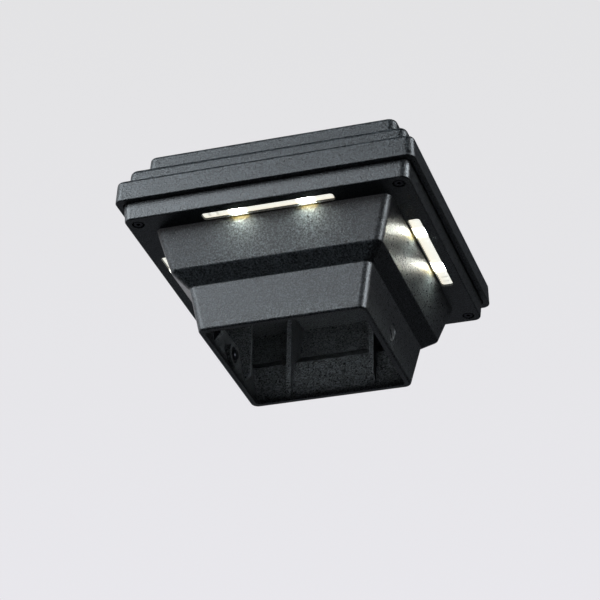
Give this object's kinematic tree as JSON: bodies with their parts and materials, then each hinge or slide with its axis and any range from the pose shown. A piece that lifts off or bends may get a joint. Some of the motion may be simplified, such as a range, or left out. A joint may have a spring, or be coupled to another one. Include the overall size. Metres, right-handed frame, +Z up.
{
  "type": "deck post cap light",
  "caption": "Square stepped cap for an upright, with a tapered socket below and a lit lens strip under each side of its soffit.",
  "frame": {"origin": "centre of the open rim of the collar, at the very bottom", "axes": "+Z up out of the top of the lid, -Y towards the front, +X towards the right"},
  "size_m": [0.1584, 0.1584, 0.0943],
  "materials": {
    "black_coat": "fine textured powder coat on die-cast aluminium, satin",
    "lens": "clear moulded polycarbonate with a frosted upper face",
    "diode": "yellow phosphor over a white package",
    "light_board": "white solder mask on an aluminium strip",
    "circuit_board": "green solder mask on glass fibre",
    "steel": "stainless steel, satin",
    "black_steel": "black oxide on steel, satin",
    "rubber": "matt moulded rubber",
    "capacitor_sleeve": "dark blue sleeve",
    "ferrite": "matt ferrite",
    "dark_plastic": "moulded epoxy",
    "green_plastic": "moulded plastic",
    "red_insulation": "wire insulation",
    "black_insulation": "wire insulation"
  },
  "bodies": {
    "housing": {"top_cover": "black_coat", "base_housing": "black_coat", "cover_gasket": "rubber", "cover_screws": "black_steel", "cover_screw_washers": "rubber", "board_screws": "steel", "driver_board": "circuit_board", "driver_screws": "steel", "capacitor": "capacitor_sleeve", "inductor": "ferrite", "rectifier": "dark_plastic", "driver_chip": "dark_plastic", "resistors": "dark_plastic", "terminal_block": "green_plastic", "terminal_screws": "steel", "positive_leads": "red_insulation", "negative_leads": "black_insulation", "cable_grommet": "rubber", "lens_front": "lens", "lens_seal_front": "rubber", "light_board_front": "light_board", "diodes_front": "diode", "lens_right": "lens", "lens_seal_right": "rubber", "light_board_right": "light_board", "diodes_right": "diode", "lens_back": "lens", "lens_seal_back": "rubber", "light_board_back": "light_board", "diodes_back": "diode", "lens_left": "lens", "lens_seal_left": "rubber", "light_board_left": "light_board", "diodes_left": "diode"},
    "right_screw": {"set_screw_right": "black_steel"},
    "left_screw": {"set_screw_left": "black_steel"}
  },
  "joints": [
    {"name": "right_screw_travel", "type": "slide", "parent": "housing", "child": "right_screw", "axis": [1, 0, 0], "range_m": [-0.0015, 0.0025]},
    {"name": "left_screw_travel", "type": "slide", "parent": "housing", "child": "left_screw", "axis": [-1, 0, 0], "range_m": [-0.0015, 0.0025]}
  ]
}
